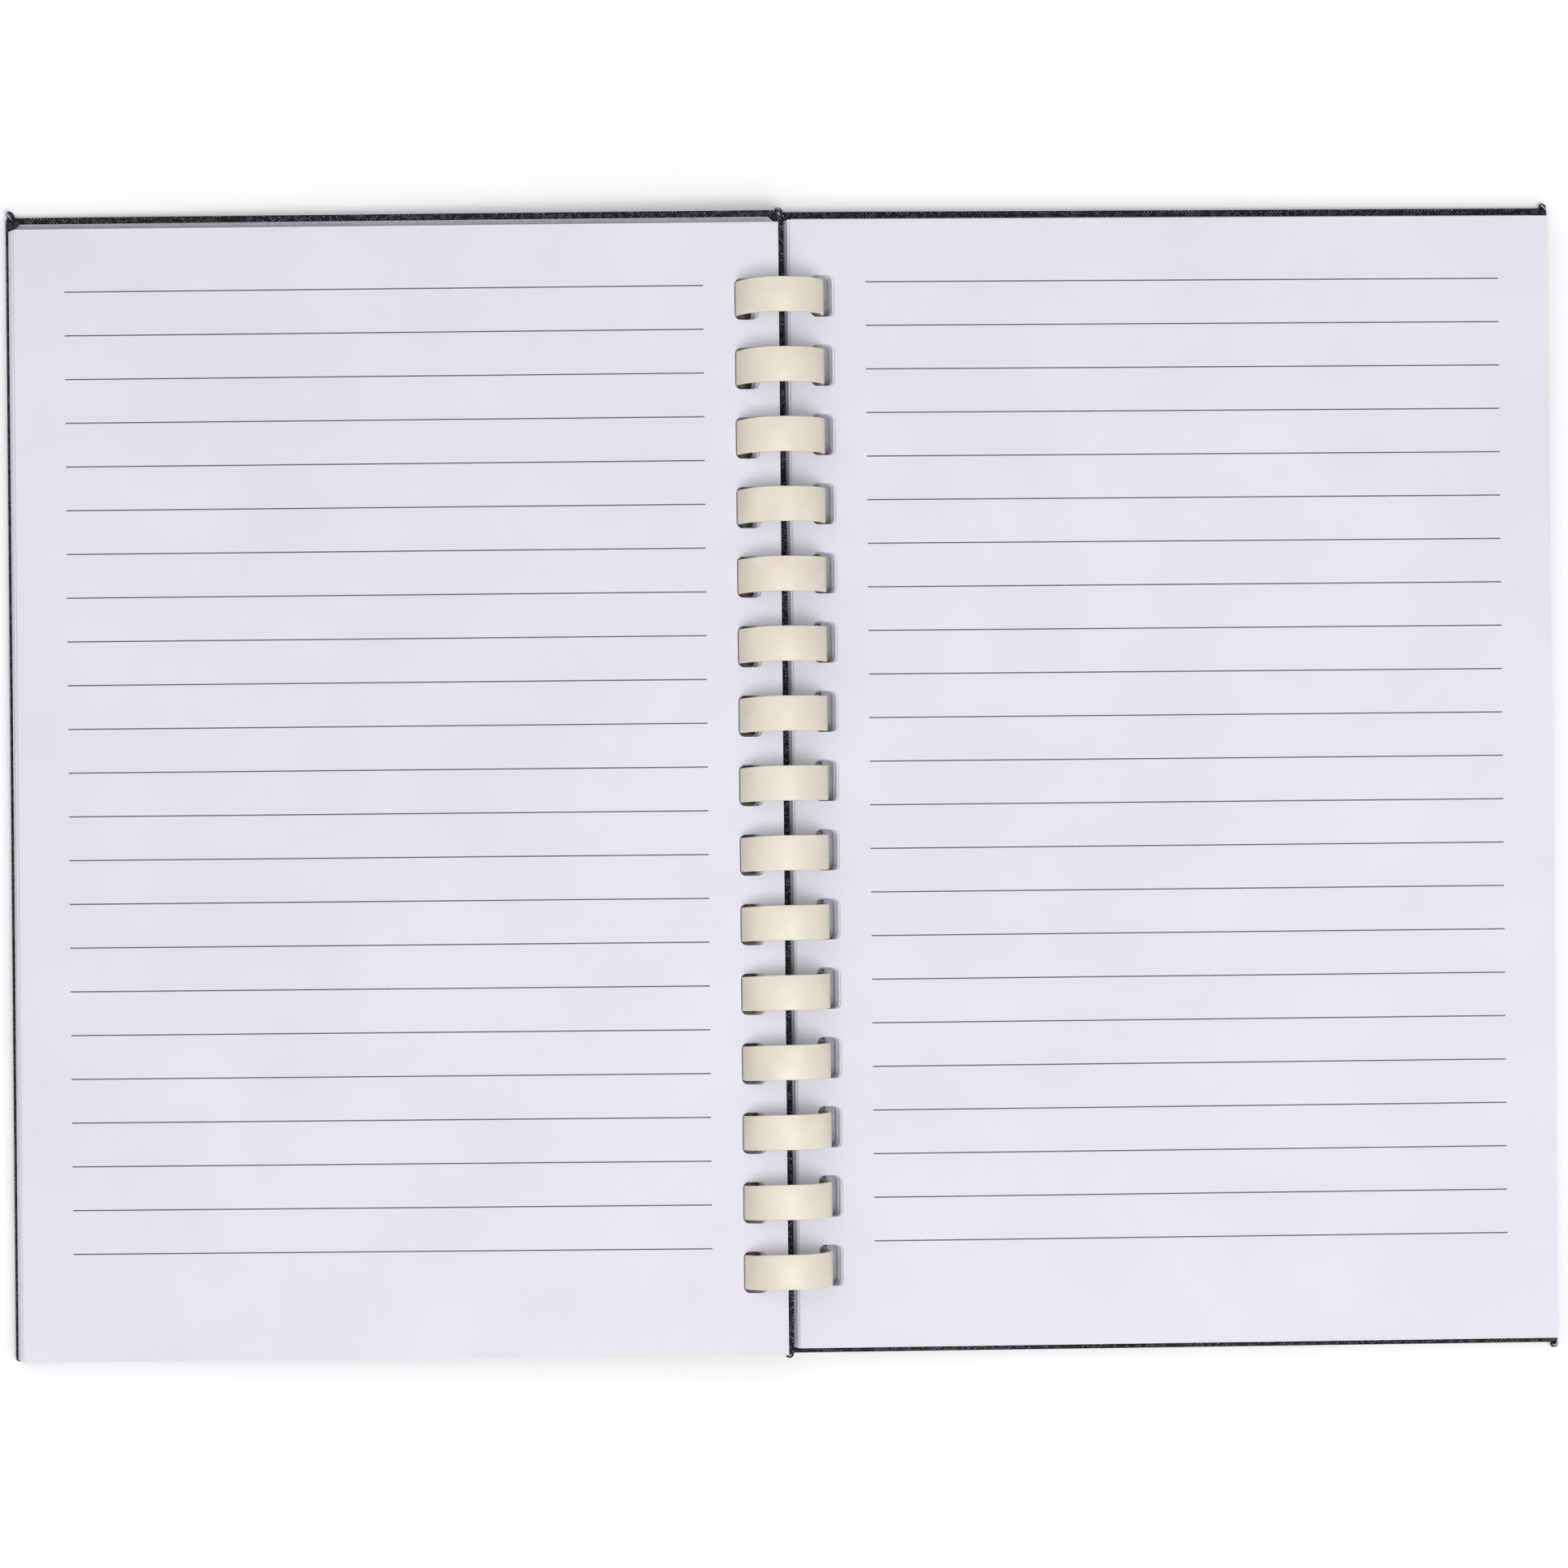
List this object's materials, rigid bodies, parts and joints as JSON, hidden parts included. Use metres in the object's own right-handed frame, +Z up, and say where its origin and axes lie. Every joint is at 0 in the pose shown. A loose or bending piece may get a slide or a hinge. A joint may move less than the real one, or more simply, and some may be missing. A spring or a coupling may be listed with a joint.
{
  "type": "open comb-bound notebook",
  "caption": "Comb-bound ruled notebook lying open, with two cloth-covered boards, two stacks of punched leaves and a curled plastic comb.",
  "frame": {"origin": "on the table, under the middle of the open notebook", "axes": "+X across both pages to the right-hand one, +Y along the comb to the head of the pages, +Z up from the table"},
  "size_m": [0.2847, 0.2102, 0.0164],
  "materials": {
    "board": "plain grey board",
    "cloth": "black woven book cloth, matt",
    "lining": "smooth uncoated paper",
    "leaves": "smooth uncoated paper with thin grey ruled lines",
    "comb": "cream plastic, softly glossy"
  },
  "bodies": {
    "back_half": {"back_board": "board", "back_cloth": "cloth", "back_lining": "lining", "back_leaves": "leaves"},
    "front_half": {"front_board": "board", "front_cloth": "cloth", "front_lining": "lining", "front_leaves": "leaves"},
    "comb_body": {"comb": "comb"}
  },
  "joints": [
    {"name": "front_cover_turn", "type": "hinge", "parent": "back_half", "child": "front_half", "pos_m": [0, 0, 0.00967], "axis": [0, 1, 0], "range_deg": [0, 182.8]},
    {"name": "comb_roll", "type": "hinge", "parent": "back_half", "child": "comb_body", "pos_m": [-0.0003, 0, 0.0082], "axis": [0, 1, 0], "range_deg": [0, 70]}
  ],
  "couplings": [
    {"joint": "comb_roll", "follows": "front_cover_turn", "ratio": 0.38}
  ]
}
